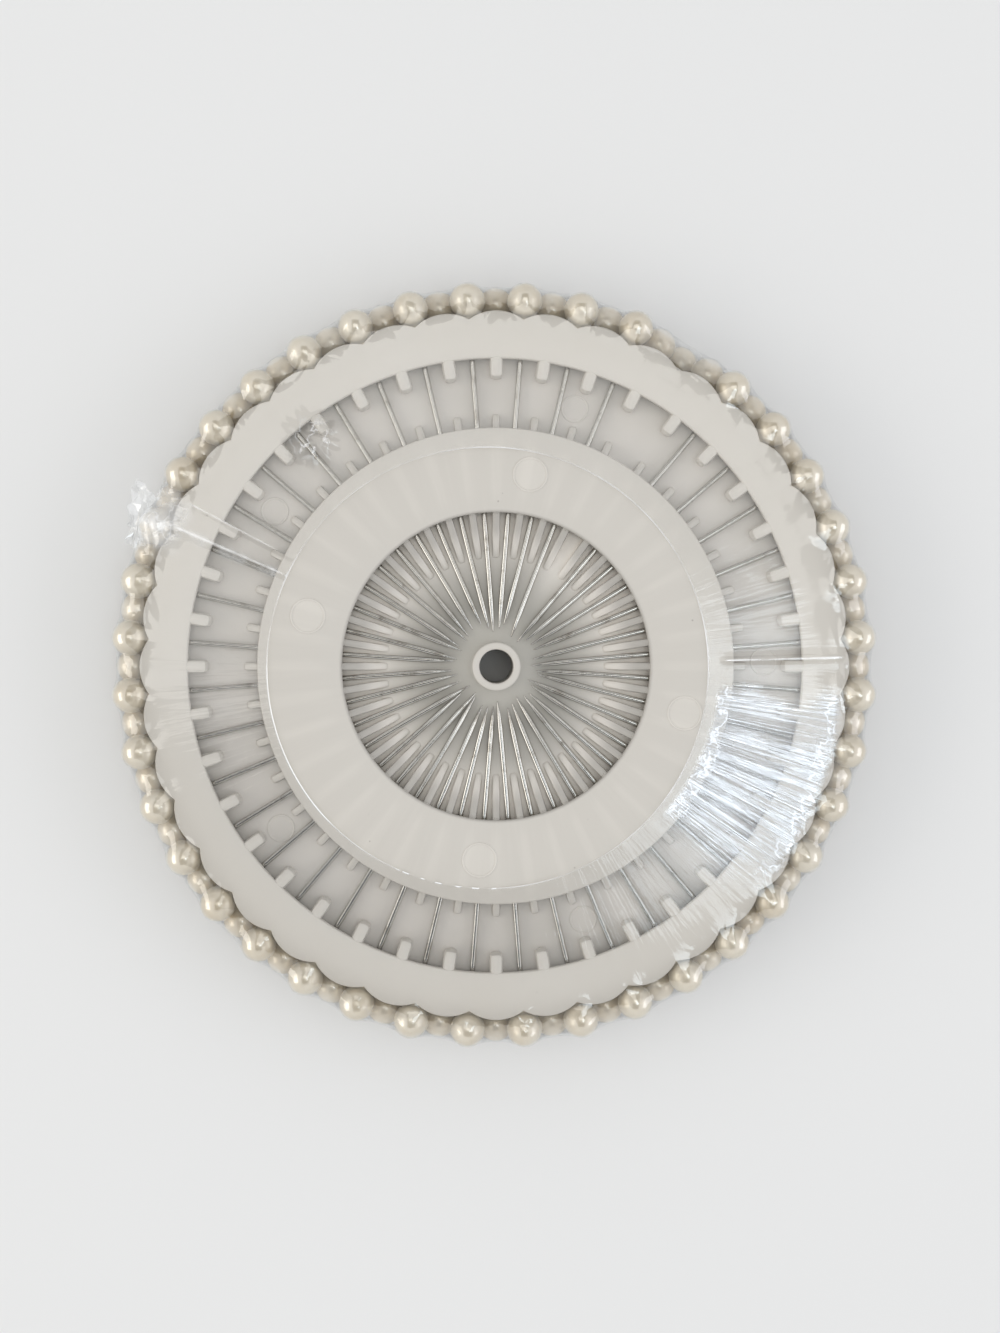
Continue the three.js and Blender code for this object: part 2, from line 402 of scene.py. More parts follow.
def natural_plastic(name, base, turn):
    """Milky moulded plastic, greyer in its thin floors, with its ribs faintly in the covers; its
    rim, outer floor and the centre floor's outer gaps are painted paler as painted light, and the
    centre ribs darker as painted shade.
    """
    colours = settings().colours
    finish = Finish(name)
    distance, degrees, height = polar(finish)
    level = height - base * MM
    past_centre = distance.step(*CENTRE_EDGE)
    sloping = level.step(*CENTRE_RIB_LEVEL)
    on_cover = sloping + (level.step(*COVER_LEVEL) - sloping) * past_centre
    # Painted light: the gaps near the centre window's edge get a colour paler than the outer
    # floor's
    gap = toned(colours.floor, GAP_PAINTED_LIGHT_TONE)
    floor = finish.mix(distance.step(*CENTRE_FLOOR), colours.centre_floor, gap)
    floor = finish.mix(past_centre, floor, colours.floor)
    # Painted shade: the centre window's ribs are painted darker, to match the shaded gaps between
    # them
    in_ribs = distance.step(*CENTRE_RIBS) * (1 - past_centre)
    cover = finish.mix(in_ribs, colours.cover, toned(colours.cover, CENTRE_RIB_PAINTED_SHADE_TONE))
    # Painted light: the rim painted paler
    cover = finish.mix(distance.step(*RIM_START), cover, toned(colours.cover, RIM_PAINTED_LIGHT_TONE))
    colour = finish.mix(on_cover, floor, cover)
    one_rib_each = math.radians(settings().wheel.pins)
    rib_wave = finish.math("COSINE", (degrees + math.degrees(turn)) * one_rib_each)
    over_ribs = distance.step(*RIBS_SHOW) * (1 - distance.step(*RIBS_FADE))
    streaks = finish.noise(1.0, finish.vector(degrees * 0.9, distance * 0.12, level * 0.2), 3)
    clouds = finish.noise(120, detail=3)
    tone = (rib_wave * 0.5 + 0.5) ** 3 * over_ribs * 0.35
    tone = tone + (streaks - 0.5) * 0.5 + (clouds - 0.5) * 0.35
    mark_edge = MID_MARK_R * MM
    for place, clockwise in MID_MARKS:
        angle = math.radians(clockwise) - turn
        off_mark = reach_from(finish, place * math.sin(angle), place * math.cos(angle))
        tone = tone + (1 - off_mark.step(mark_edge - 0.1, mark_edge)) * 0.55
    colour = finish.mix((tone * on_cover).limited(), colour, toned(colours.cover, PALE_TONE))
    dusk = ((clouds - 0.42) * 0.9).limited() * (1 - on_cover)
    colour = finish.mix(dusk, colour, toned(colours.centre_floor, DUSK_TONE))
    specks = (1 - finish.cells(420).step(0.03, 0.06)) * finish.noise(90).step(0.56, 0.62)
    colour = finish.mix(specks * 0.5, colour, SPECK_COLOUR)
    grain = finish.noise(5200, detail=3, roughness=0.6)
    normal = finish.bump(grain * 0.25 + finish.noise(420), 0.00006, 0.6)
    return finish.surface(
        base_color=colour, roughness=0.34 + clouds * 0.16, normal=normal, ior=1.5)


def pearl_lacquer(name, painted_shade):
    """Pearl lacquer over a bead: ivory with warmer clouds under a hard clear coat; painted_shade
    shifts it toward the deeper colour as painted shade.
    """
    colours = settings().colours
    finish = Finish(name)
    beads = finish.noise(150, detail=1)
    clouds = finish.noise(900, detail=3)
    share = ((beads - 0.4) * 1.8 + (clouds - 0.5) * 0.7 + painted_shade).limited()
    colour = finish.mix(share, colours.pearl, colours.pearl_shade)
    normal = finish.bump(finish.noise(2600), 0.00003, 0.5)
    return finish.surface(
        base_color=colour, roughness=0.28 + clouds * 0.12, metallic=0.3, normal=normal, ior=1.6,
        coat_weight=1.0, coat_roughness=0.11, coat_ior=1.9)


def plated_wire():
    """Plated steel with dull stains and fine drawing marks."""
    colours = settings().colours
    finish = Finish("plated_wire")
    stains = finish.noise(450, detail=4, roughness=0.65)
    colour = finish.mix(stains.step(0.52, 0.72) * 0.7, colours.steel, colours.steel_stain)
    return finish.surface(base_color=colour, metallic=1.0, roughness=0.1 + stains * 0.1)


# Where the film's finish changes, in millimetres from the axis and in height
FILM_SIDE = (37, 40)
FILM_TOP = (7, 9)

# The film's scratched patch, whose whitish haze and blue tint are partly a painted glare, in
# degrees clockwise from +Y and millimetres from the axis
SCRATCHED_GLARE_FROM = 94
SCRATCHED_GLARE_TO = 136
SCRATCHED_GLARE_START = 24.6
SCRATCHED_GLARE_END = (38, 39.5)
SCRATCHED_GLARE_COLOUR = (0.91, 0.95, 1.0)
FILM_COLOUR = (0.95, 0.96, 0.96)

# Where the film is gathered at the side, in degrees clockwise from +Y
GATHER_AT = -67

# A pucker where the film was pinched
PUCKER_AT = -39
PUCKER_R = 0.0325
PUCKER_HIGH = 0.0006
PUCKER_SPREAD = 0.0024
PUCKER_RAYS = 9

# Straight creases across the film's top, as (degrees clockwise from +Y, width in degrees, height)
CREASES = [(88.5, 0.7, 0.00012), (-62, 0.6, 0.00006), (-66.5, 0.9, 0.00008)]
WHITE_CREASE = 0.0002

# The mouth's edge: a painted highlight brightest round one place, and painted glints in dashes up
# to another
EDGE_HIGHLIGHT_AT = -111
GLINT_DASHES_END = (-156, -152)


def scratched_glare_patch(distance, wandering):
    """1 where the film is scratched and a glare is painted, up to a soft border that wanders."""
    patch = wandering.step(SCRATCHED_GLARE_FROM, SCRATCHED_GLARE_FROM + 3)
    patch = patch * (1 - wandering.step(SCRATCHED_GLARE_TO - 12, SCRATCHED_GLARE_TO))
    patch = patch * distance.step(SCRATCHED_GLARE_START, SCRATCHED_GLARE_START + 0.8)
    return patch * (1 - distance.step(*SCRATCHED_GLARE_END))


def painted_crinkle_glints(finish, distance, patch, gather, pucker):
    """Painted highlights as fine bright wrinkles in the pucker, the gather and both ends of the
    scratched patch.
    """
    patch_ends = 1 - distance.step(26.0, 27.2) + distance.step(36.6, 37.6)
    glint_lines = finish.noise(480, detail=3).near(0.5, 0.0, 0.035)
    return glint_lines * (pucker * 0.4 + gather * 0.15 + patch * patch_ends * 0.8)


def crease_lines(finish, distance, degrees, gathers):
    """The pleat that leads to the gather, and the straight creases, as broken bright lines."""
    pleat = degrees.near(GATHER_AT, 0.5, 1.7) * distance.step(26, 27) * gathers
    lines = pleat * finish.noise(330, detail=3).step(0.35, 0.65) * 0.3
    for place, width, high in CREASES:
        line = degrees.near(place, 0.06, width * 0.4)
        line = line * distance.step(25.4, 26) * (1 - distance.step(38, 39))
        lines = lines + line * finish.noise(260).step(0.3, 0.6) * (high / WHITE_CREASE)
    return lines


def mouth_edge(finish, degrees):
    """The film's thick edge round its mouth, steady on most of its way and dashed on the rest; its
    brightest place and its dashes are painted highlights.
    """
    film = settings().film
    off_edge = reach_from(finish, *film.mouth_shift) - film.mouth_radius * MM
    edge_highlight = degrees.near(EDGE_HIGHLIGHT_AT, 18, 25)
    steady = degrees.step(*GLINT_DASHES_END)
    glint_dashes = (1 - steady) * (1 - finish.cells(900).step(0.35, 0.5))
    steady = steady * (finish.noise(140).step(0.35, 0.7) * 0.5 + 0.15)
    return off_edge.near(0, 0.06, 0.26) * (steady + edge_highlight * 0.6 + glint_dashes)


def clear_film(name, crumple=1.0, milk=0.0, gathers=1.0):
    """Clear glossy film with a thick edge, creases, a scratched patch with a painted glare, painted
    highlights on its wrinkles and mouth edge, and milky gathered places.
    """
    finish = Finish(name)
    distance, degrees, height = polar(finish)
    on_top = height.step(*FILM_TOP)
    on_side = distance.step(*FILM_SIDE)
    wandering = degrees + (finish.noise(160, detail=3) - 0.5) * 14
    patch = scratched_glare_patch(distance, wandering) * on_top
    gather = wandering.near(GATHER_AT, 2.5, 6) * distance.step(36.5, 39.5) * gathers
    turn = math.radians(PUCKER_AT)
    pucker = reach_from(finish, PUCKER_R * math.sin(turn), PUCKER_R * math.cos(turn))
    pucker = (1 - pucker.step(1.0, 3.2)) * on_top

    scratches = finish.noise(1.0, finish.vector(degrees * 2.3, distance * 0.05, 0.0), 4, 0.7)
    hairs = finish.noise(1.0, finish.vector(degrees * 7, distance * 0.09, 5.0))
    streaks = scratches * 0.55 + hairs * 0.45 + (finish.noise(110) - 0.5) * 0.3
    streaks = streaks.step(0.43, 0.57) * patch
    creases = finish.noise(1.0, finish.vector(degrees * 0.8, distance * 0.1, height * 0.3), 3)
    folds = finish.cells(210, "DISTANCE_TO_EDGE").step(0.0, 0.16)

    relief = creases * 0.2 + finish.noise(260) * (0.3 + on_side * crumple)
    relief = relief + finish.noise(850) * on_side * 0.3
    relief = relief + folds * (on_side * crumple + gather * 2) * 0.6
    relief = relief + finish.cells(1000) * (gather * 1.2 + pucker * 0.8)
    normal = finish.bump(relief, 0.00018, 0.5)
    normal = finish.bump(scratches * patch, 0.00004, 1.0, normal)

    facing = finish.node("ShaderNodeFresnel", inputs={"IOR": 1.5, "Normal": normal}).outputs[0]
    gloss = (Value(finish, facing) * (1.2 + on_side * 1.6)).math("MINIMUM", on_side * 0.2 + 0.4)
    haze = finish.noise(75, detail=3).step(0.4, 0.8) * 0.04 + 0.03
    # Painted highlights: bright crinkle lines in the mist
    crinkle_glints = painted_crinkle_glints(finish, distance, patch, gather, pucker)
    # Painted highlights: the mouth edge's brightest place and its dashes
    lines = crease_lines(finish, distance, degrees, gathers) + mouth_edge(finish, degrees)
    mirror = gloss + streaks * 0.4
    # Painted glare: the patch and its streaks whiten the mist over the real scratches
    mist = haze + streaks * 0.2 + patch * 0.17 + gather * 0.3 + crinkle_glints + lines * on_top + milk
    alpha = (mirror + mist).limited()
    return finish.surface(
        # Painted glare: the patch is tinted blue
        base_color=finish.mix(patch, FILM_COLOUR, SCRATCHED_GLARE_COLOUR),
        metallic=(mirror / alpha).limited(), roughness=0.07 + gather * 0.15 + milk * 0.2,
        alpha=alpha, normal=normal)


def table_paint():
    finish = Finish("table_paint")
    colour = settings().colours.table
    shade = finish.mix(finish.noise(9, detail=3), colour, toned(colour, 0.97))
    return finish.surface(base_color=shade, roughness=0.85)


def flag_cloth():
    finish = Finish("flag_cloth")
    return finish.surface(base_color=(0.02, 0.02, 0.02, 1.0), roughness=1.0)


# Mesh helpers


def add_part(target, part, turn=0.0, lift=0.0):
    """Moves a part's bmesh into another one, turned about the hub's axis and lifted."""
    part.transform(Matrix.Translation((0, 0, lift)) @ Matrix.Rotation(turn, 4, "Z"))
    mesh = bpy.data.meshes.new("part")
    part.to_mesh(mesh)
    part.free()
    target.from_mesh(mesh)
    bpy.data.meshes.remove(mesh)


def as_piece(name, bm, material, body, nodes=(), smooth_angle=40):
    """Makes a piece of a bmesh, which rides on its body and stands for CAD nodes."""
    bmesh.ops.recalc_face_normals(bm, faces=bm.faces)
    mesh = bpy.data.meshes.new(name)
    bm.to_mesh(mesh)
    bm.free()
    mesh.materials.append(material)
    mesh.shade_smooth()
    mesh.set_sharp_from_angle(angle=math.radians(smooth_angle))
    piece = bpy.data.objects.new(name, mesh)
    bpy.context.scene.collection.objects.link(piece)
    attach(piece, body)
    if nodes:
        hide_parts(*nodes)
    return piece


def rounded(corners, radius, steps=3):
    """A closed outline of (radius, height) corners, each of them made an arc."""
    outline = []
    for i, corner in enumerate(corners):
        here = Vector(corner)
        back = (Vector(corners[i - 1]) - here).normalized()
        ahead = (Vector(corners[(i + 1) % len(corners)]) - here).normalized()
        half = back.angle(ahead) / 2
        centre = here + (back + ahead).normalized() * (radius / math.sin(half))
        reach = radius / math.tan(half)
        start = here + back * reach - centre
        end = here + ahead * reach - centre
        for step in range(steps + 1):
            outline.append(centre + start.lerp(end, step / steps).normalized() * radius)
    return outline


def ring(corners, radius, steps):
    """A closed ring whose section has rounded corners."""
    bm = bmesh.new()
    verts = [bm.verts.new((p.x, 0, p.y)) for p in rounded(corners, radius)]
    edges = [bm.edges.new(pair) for pair in zip(verts, verts[1:] + verts[:1])]
    bmesh.ops.spin(bm, geom=verts + edges, cent=(0, 0, 0), axis=(0, 0, 1), angle=math.tau,
                   steps=steps, use_merge=True)
    return bm


def slab(inner, outer, low, high):
    return [(inner, low), (outer, low), (outer, high), (inner, high)]


def spread(bm, count):
    """Copies what a bmesh holds round the hub's axis."""
    geom = bm.verts[:] + bm.edges[:] + bm.faces[:]
    bmesh.ops.spin(bm, geom=geom, cent=(0, 0, 0), axis=(0, 0, 1), use_duplicate=True,
                   angle=math.tau * (count - 1) / count, steps=count - 1)
    return bm


def bevel(bm, edges, offset):
    bmesh.ops.bevel(bm, geom=edges, offset=offset, offset_type="OFFSET", segments=2,
                    profile=0.5, affect="EDGES", clamp_overlap=True, material=-1)


# Wheels

STEPS_A_LOBE = 12
RING_STEPS = 240
MARK_STEPS = 48

# How far the rim's ribs end inside its notches
RIM_MARGIN = 0.0012

# How far ribs in a row run into each other
RIB_OVERLAP = 0.0002


def scallop(angle, wheel):
    """The rim's radius: arcs that meet in a notch at each pin, with a lobe where angle is 0."""
    pitch = math.tau / wheel.pins
    half_chord = wheel.notch_radius * math.sin(pitch / 2)
    rise = LOBE_R - wheel.notch_radius * math.cos(pitch / 2)
    arc = (half_chord ** 2 + rise ** 2) / (2 * rise)
    centre = LOBE_R - arc
    off = (angle + pitch / 2) % pitch - pitch / 2
    return centre * math.cos(off) + math.sqrt(arc ** 2 - (centre * math.sin(off)) ** 2)


def rim_cover(wheel, low, high):
    """The scalloped cover: a plain ring that is drawn in and out to the lobes and notches."""
    bm = ring(slab(wheel.window_radius, LOBE_R, low, high), wheel.edge, wheel.pins * STEPS_A_LOBE)
    for v in bm.verts:
        r = math.hypot(v.co.x, v.co.y)
        share = (r - wheel.window_radius) / (LOBE_R - wheel.window_radius)
        drawn = r + share * (scallop(math.atan2(v.co.x, v.co.y), wheel) - LOBE_R)
        v.co.x *= drawn / r
        v.co.y *= drawn / r
    return bm


def rib(near, far, width, low, near_high, far_high):
    """A rib along +Y whose top may slope, with rounded ends and top."""
    bm = bmesh.new()
    middle = (near + far) / 2
    size = Matrix.Diagonal((width, far - near, 1, 1))
    bmesh.ops.create_cube(bm, size=1, matrix=Matrix.Translation((0, middle, 0)) @ size)
    for v in bm.verts:
        top = near_high if v.co.y < middle else far_high
        v.co.z = top if v.co.z > 0 else low
    rounding = width * 0.36
    bevel(bm, [e for e in bm.edges if max(v.co.z for v in e.verts) > low], rounding)
    return bm


def mark(radius, distance, degrees, top, proud):
    """A round ejector mark: a fine ridge that stands slightly proud of the moulding."""
    deep = 4 * proud
    bm = ring(slab(radius - deep, radius, top - deep, top + proud), proud * 1.5, MARK_STEPS)
    turn = Matrix.Rotation(-math.radians(degrees), 4, "Z")
    bm.transform(turn @ Matrix.Translation((0, distance, 0)))
    return bm


def wheel_mesh():
    """One whole moulding with its base at height 0 and a lobe on +Y."""
    wheel = settings().wheel
    cover_z = WHEEL_H - wheel.skin
    bm = bmesh.new()
    add_part(bm, rim_cover(wheel, cover_z, WHEEL_H))
    mid_ring = slab(wheel.centre_radius, wheel.mid_radius, cover_z, WHEEL_H)
    window_floor = slab(
        wheel.mid_radius - wheel.ledge, wheel.window_radius + wheel.ledge, 0, wheel.skin)
    hub_and_floor = [
        (wheel.bore_radius, 0),
        (wheel.centre_radius + wheel.ledge, 0),
        (wheel.centre_radius + wheel.ledge, wheel.skin),
        (wheel.hub_radius, wheel.skin),
        (wheel.hub_radius, WHEEL_H),
        (wheel.bore_radius, WHEEL_H),
    ]
    for section in (mid_ring, window_floor, hub_and_floor):
        add_part(bm, ring(section, wheel.edge, RING_STEPS))
    low = wheel.skin * 0.6
    fading = wheel.skin * 1.1
    blunt = wheel.skin * 1.6
    high = WHEEL_H - wheel.edge * 1.5
    flush = WHEEL_H - 0.00005
    tooth_root = wheel.mid_radius - 2 * wheel.skin
    slope_root = wheel.centre_radius + 3 * RIB_OVERLAP
    ribs = [
        (wheel.window_radius - wheel.rim_tooth, wheel.notch_radius - RIM_MARGIN, wheel.rim_rib,
         flush, flush),
        (tooth_root - RIB_OVERLAP, wheel.mid_radius + wheel.mid_tooth, wheel.mid_rib, high, blunt),
        (wheel.centre_radius - RIB_OVERLAP, tooth_root, wheel.mid_rib, high, high),
        (wheel.centre_radius - wheel.centre_tooth, slope_root, wheel.mid_rib, fading, high),
    ]
    for near, far, width, near_high, far_high in ribs:
        add_part(bm, spread(rib(near, far, width, low, near_high, far_high), wheel.pins))
    for distance, degrees in MID_MARKS:
        add_part(bm, mark(MID_MARK_R, distance, degrees, WHEEL_H, MARK_PROUD))
    for distance, degrees in FLOOR_MARKS:
        add_part(bm, mark(FLOOR_MARK_R, distance, degrees, wheel.skin, MARK_PROUD))
    return bm


class AddWheels(bpy.types.Operator):
    """Add the three moulded wheels, each half a pitch round from the one above it"""

    bl_idname = "pinstack.add_wheels"
    bl_label = "Moulded wheels"

    def execute(self, context):
        pitch = math.tau / settings().wheel.pins
        for name, half_pitches in WHEEL_TURNS.items():
            turn = half_pitches * pitch / 2
            base = wheel_base(name)
            bm = bmesh.new()
            add_part(bm, wheel_mesh(), turn, base)
            plastic = natural_plastic(f"natural_plastic_{name}", base, turn)
            as_piece(f"{name}_moulding", bm, plastic, name, [name])
        return {"FINISHED"}


# Pins


def turned(profile, steps):
    """A closed solid of (radius, distance) points turned round +Y."""
    bm = bmesh.new()
    verts = [bm.verts.new((r, y, 0)) for r, y in profile]
    edges = [bm.edges.new(pair) for pair in zip(verts, verts[1:])]
    bmesh.ops.spin(bm, geom=verts + edges, cent=(0, 0, 0), axis=(0, 1, 0), angle=math.tau,
                   steps=steps, use_merge=True)
    bmesh.ops.remove_doubles(bm, verts=bm.verts, dist=1e-7)
    return bm


def shank_mesh(rng, sides=12):
    """The wire along +Y, from its point to inside the pearl, leaning aside near the point."""
    pin = settings().pin
    bend_from = settings().wheel.centre_radius
    r = pin.shank / 2
    tip = pin.tip_radius + rng.uniform(-1, 1) * pin.tip_scatter
    aside = rng.uniform(-1, 1) * pin.bend
    up = rng.uniform(-1, 1) * pin.bend * 0.6
    end = pin.pearl_ring - pin.pearl / 4
    start = tip + pin.point
    rows = 12
    profile = [(0, tip), (r * 0.22, tip + pin.point * 0.05), (r * 0.7, tip + pin.point * 0.5)]
    profile += [(r, start + (end - start) * i / rows) for i in range(rows + 1)]
    bm = turned(profile + [(0, end)], sides)
    for v in bm.verts:
        share = max(0.0, (bend_from - v.co.y) / (bend_from - tip)) ** 2
        v.co.x += aside * share
        v.co.z += up * share
    return bm


def pearl_mesh(rng, sides=28, arcs=18):
    """A pearl head with its drawn-out neck on the side of the hub, a little out of round."""
    pin = settings().pin
    ball = pin.pearl / 2 * rng.uniform(0.97, 1.0)
    neck = ball * 0.36
    collar = pin.shank * 0.62
    start = math.asin(neck / ball)
    foot = pin.pearl_ring - ball * math.cos(start)
    length = pin.neck * rng.uniform(0.7, 1.1)
    profile = [(0, foot - length), (collar, foot - length), (collar * 1.15, foot - length * 0.6),
               (collar * 1.4, foot - length * 0.3), (neck * 0.86, foot - length * 0.06)]
    for i in range(arcs):
        angle = start + (math.pi - start) * (i + 0.3) / arcs
        profile.append((ball * math.sin(angle), pin.pearl_ring - ball * math.cos(angle)))
    profile.append((0, pin.pearl_ring + ball))
    bm = turned(profile, sides)
    squeeze = rng.uniform(0.97, 1.0)
    for v in bm.verts:
        v.co.z *= squeeze
    return bm


def pin_turn(place):
    """The turn that brings +Y to a pin's place, counted in pitches clockwise."""
    return -place * math.tau / settings().wheel.pins


def row_places(name):
    """The places of a wheel's pins, in pitches clockwise from +Y."""
    if name == "top_wheel":
        return [pin_place(pin) for pin in PIN_NAMES]
    start = 0.5 * (1 - WHEEL_TURNS[name] % 2)
    return [i + start for i in range(settings().wheel.pins)]


def pin_place(name):
    return int(name[-2:]) - 0.5


class AddLoosePins(bpy.types.Operator):
    """Add the top wheel's pins, each a pearl head on a wire that slides by itself"""

    bl_idname = "pinstack.add_loose_pins"
    bl_label = "Loose pins"

    def execute(self, context):
        rng = random.Random(settings().pin.seed)
        lacquer = pearl_lacquer("pearl_lacquer", 0)
        wire = plated_wire()
        for name in PIN_NAMES:
            number = name[-2:]
            turn = pin_turn(pin_place(name))
            height = pin_height(name)
            head = bmesh.new()
            add_part(head, pearl_mesh(rng), turn, height)
            as_piece(f"pearl_{number}", head, lacquer, name, [name], 60)
            shank = bmesh.new()
            add_part(shank, shank_mesh(rng), turn, height)
            as_piece(f"shank_{number}", shank, wire, name, [name])
        return {"FINISHED"}


class AddLowerPins(bpy.types.Operator):
    """Add the rings of pins that stay in the two lower wheels"""

    bl_idname = "pinstack.add_lower_pins"
    bl_label = "Lower pins"

    def execute(self, context):
        rng = random.Random(settings().pin.seed + 1)
        # Painted shade: the lower rows' lacquer is painted warmer and deeper, for the shade and the
        # film over them
        lacquer = pearl_lacquer("pearl_lacquer_lower_painted_shade", 0.45)
        wire = bpy.data.materials["plated_wire"]
        for name in ("middle_wheel", "bottom_wheel"):
            height = pin_height(name)
            heads = bmesh.new()
            shanks = bmesh.new()
            for place in row_places(name):
                add_part(heads, pearl_mesh(rng, 20, 12), pin_turn(place), height)
                add_part(shanks, shank_mesh(rng, 8), pin_turn(place), height)
            as_piece(f"{name}_pearls", heads, lacquer, name, [name], 60)
            as_piece(f"{name}_shanks", shanks, wire, name, [name])
        return {"FINISHED"}


# Film

# How far the film lies flat past the mouth before it turns down, short of the notches
SHOULDER_INSET = 0.0006

# How far the lower mouth's edge wanders
MOUTH_WANDER = 0.0003

# The side's section, from a plain oval at 2 to a rectangle at far more
SQUARENESS = 2.7


def mouth_radius(angle, radius, shift):
    """The distance of a shifted circle from the axis, along each angle."""
    along = shift[0] * np.cos(angle) + shift[1] * np.sin(angle)
    return along + np.sqrt(radius ** 2 - shift[0] ** 2 - shift[1] ** 2 + along ** 2)


def evenly(points, count):
    """A polyline's radii and heights again, count even spaces apart."""
    points = np.array(points)
    travelled = np.concatenate([[0], np.cumsum(np.hypot(*np.diff(points, axis=0).T))])
    wanted = np.linspace(0, travelled[-1], count + 1)
    return np.interp(wanted, travelled, points[:, 0]), np.interp(wanted, travelled, points[:, 1])


def side_section(start_r, rows):
    """The slack film round the pearls, from above to below, as a squarish half oval."""
    film = settings().film
    wall = settings().pin.pearl_ring + settings().pin.pearl / 2 + film.clearance
    middle = (BAND_LOW.z + BAND_HIGH.z) / 2
    half = BAND_HIGH.z - middle - film.clearance
    power = 2 / SQUARENESS
    points = []
    for i in range(181):
        angle = math.radians(90 - i)
        out = abs(math.cos(angle)) ** power
        up = math.copysign(abs(math.sin(angle)) ** power, math.sin(angle))
        points.append((start_r + (wall - start_r) * out, middle + half * up))
    return evenly(points, rows)


def pearl_discs(angle):
    """Where each row of pearls meets the planes through the axis: centre, height and radius."""
    pin = settings().pin
    film = settings().film
    pitch = math.tau / settings().wheel.pins
    discs = []
    for name in WHEEL_TURNS:
        gap = film.rest_clearance if name == "bottom_wheel" else film.clearance
        centres = math.pi / 2 - np.array(row_places(name)) * pitch
        off = (angle[:, None] - centres[None, :] + math.pi) % math.tau - math.pi
        nearest = np.abs(off).min(axis=1)
        aside = pin.pearl_ring * np.sin(np.minimum(nearest, math.pi / 2))
        radius = np.sqrt(np.maximum((pin.pearl / 2 + gap) ** 2 - aside ** 2, 0))
        height = pin_height(PIN_NAMES[0] if name == "top_wheel" else name)
        discs.append((pin.pearl_ring * np.cos(nearest), height, radius))
    return discs


def clear_of_stack(r, z, discs):
    """Pushes the film's points out of the pearls and the wheels."""
    for centre, height, radius in discs:
        dr = r - centre[:, None]
        dz = z - height
        scale = np.maximum(radius[:, None] / np.maximum(np.hypot(dr, dz), 1e-9), 1)
        r = centre[:, None] + dr * scale
        z = height + dz * scale
    gap = settings().film.clearance
    top = TOP_HIGH.z + gap
    under = wheel_base("bottom_wheel") - gap
    edge = LOBE_R + gap
    inside = (r < edge) & (z < top) & (z > under)
    sideways = inside & (edge - r < np.minimum(top - z, z - under))
    upward = inside & ~sideways & (z > (top + under) / 2)
    downward = inside & ~sideways & ~upward
    return np.where(sideways, edge, r), np.where(upward, top, np.where(downward, under, z))


def drawn_tight(r, z, spacing, discs):
    """Lets the film shrink: each point goes to the mean of its neighbours, but into nothing."""
    film = settings().film
    hoop = 1 / (settings().pin.pearl_ring * math.tau / film.columns) ** 2
    before = 2 / (spacing[:-1] * (spacing[:-1] + spacing[1:]))
    after = 2 / (spacing[1:] * (spacing[:-1] + spacing[1:]))
    for _ in range(film.draws):
        moved = []
        for field in (r, z):
            beside = np.roll(field, 1, axis=0) + np.roll(field, -1, axis=0)
            pulled = before * field[:, :-2] + after * field[:, 2:] + hoop * beside[:, 1:-1]
            field = field.copy()
            field[:, 1:-1] = pulled / (before + after + 2 * hoop)
            moved.append(field)
        r, z = clear_of_stack(*moved, discs)
    return r, z


def film_points():
    """The film's angles, and its points by column and row, drawn tight over the pearls."""
    film = settings().film
    angle = np.arange(film.columns) * math.tau / film.columns
    shift = np.array(film.mouth_shift)
    wander = np.array([noise.noise((3 * math.cos(a), 3 * math.sin(a), 0)) for a in angle])
    upper = mouth_radius(angle, film.mouth_radius, shift)
    lower = mouth_radius(angle, film.mouth_radius, -shift) - wander * MOUTH_WANDER
    shoulder = settings().wheel.notch_radius - SHOULDER_INSET
    side_r, side_z = side_section(shoulder, film.side_rows)
    top = TOP_HIGH.z + film.clearance
    under = wheel_base("bottom_wheel") - film.clearance
    share = np.linspace(0, 1, film.top_rows, endpoint=False) ** 1.6
    top_r = upper[:, None] + (shoulder - upper)[:, None] * share
    top_z = top + (side_z[0] - top) * share ** 6 + np.zeros_like(top_r)
    share = np.linspace(0, 1, film.low_rows + 1)[1:]
    low_r = shoulder + (lower - shoulder)[:, None] * share
    low_z = under + (side_z[-1] - under) * (1 - share) ** 6 + np.zeros_like(low_r)
    columns = np.ones((film.columns, 1))
    r = np.hstack([top_r, side_r * columns, low_r])
    z = np.hstack([top_z, side_z * columns, low_z])
    spacing = np.hypot(np.diff(r, axis=1), np.diff(z, axis=1)).mean(axis=0)
    r, z = drawn_tight(r, z, spacing, pearl_discs(angle))
    return angle, r, z


def film_creases(degrees, r):
    """How far the film's top stands up in its straight creases and its pucker."""
    across = np.radians(degrees - PUCKER_AT) * r
    along = r - PUCKER_R
    rays = np.abs(np.sin(np.arctan2(across, along) * PUCKER_RAYS / 2)) ** 3
    bulge = np.exp(-(np.hypot(across, along) / PUCKER_SPREAD) ** 2)
    raised = PUCKER_HIGH * bulge * (0.3 + 0.7 * rays)
    past_mouth = r > settings().film.mouth_radius + 0.001
    for place, width, high in CREASES:
        raised = raised + high * np.exp(-((degrees - place) / width) ** 2) * past_mouth
    return raised


